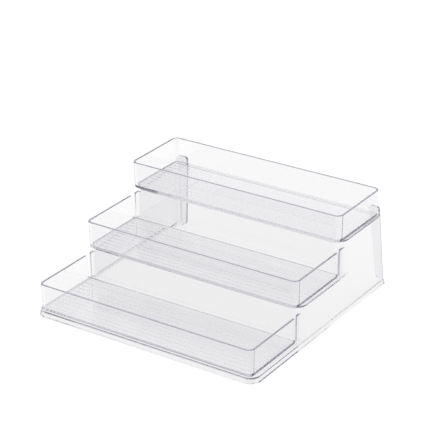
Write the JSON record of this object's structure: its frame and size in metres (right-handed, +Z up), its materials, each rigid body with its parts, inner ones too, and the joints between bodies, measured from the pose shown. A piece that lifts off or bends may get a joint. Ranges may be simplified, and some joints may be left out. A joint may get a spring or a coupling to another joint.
{
  "type": "tiered shelf riser",
  "caption": "Clear stepped shelf riser: a hollow stepped frame, open below and behind, that carries a lift-out ribbed tray on each step.",
  "frame": {"origin": "on the surface the riser stands on, at the middle of its footprint", "axes": "+X across the steps to the right, -Y towards the user, so the steps climb along +Y, +Z up"},
  "size_m": [0.26, 0.25, 0.1075],
  "materials": {
    "frame_plastic": "clear polished moulded styrene with a faint cool tint",
    "tray_plastic": "clear polished moulded styrene with a faint cool tint, ribbed floor"
  },
  "bodies": {
    "frame": {"stepped_frame": "frame_plastic"},
    "bottom_tray": {"bottom_tray": "tray_plastic"},
    "middle_tray": {"middle_tray": "tray_plastic"},
    "top_tray": {"top_tray": "tray_plastic"}
  },
  "joints": [
    {"name": "bottom_tray_lift", "type": "slide", "parent": "frame", "child": "bottom_tray", "axis": [0, 0, 1], "range_m": [0, 0.06]},
    {"name": "middle_tray_lift", "type": "slide", "parent": "frame", "child": "middle_tray", "axis": [0, 0, 1], "range_m": [0, 0.06]},
    {"name": "top_tray_lift", "type": "slide", "parent": "frame", "child": "top_tray", "axis": [0, 0, 1], "range_m": [0, 0.06]}
  ]
}
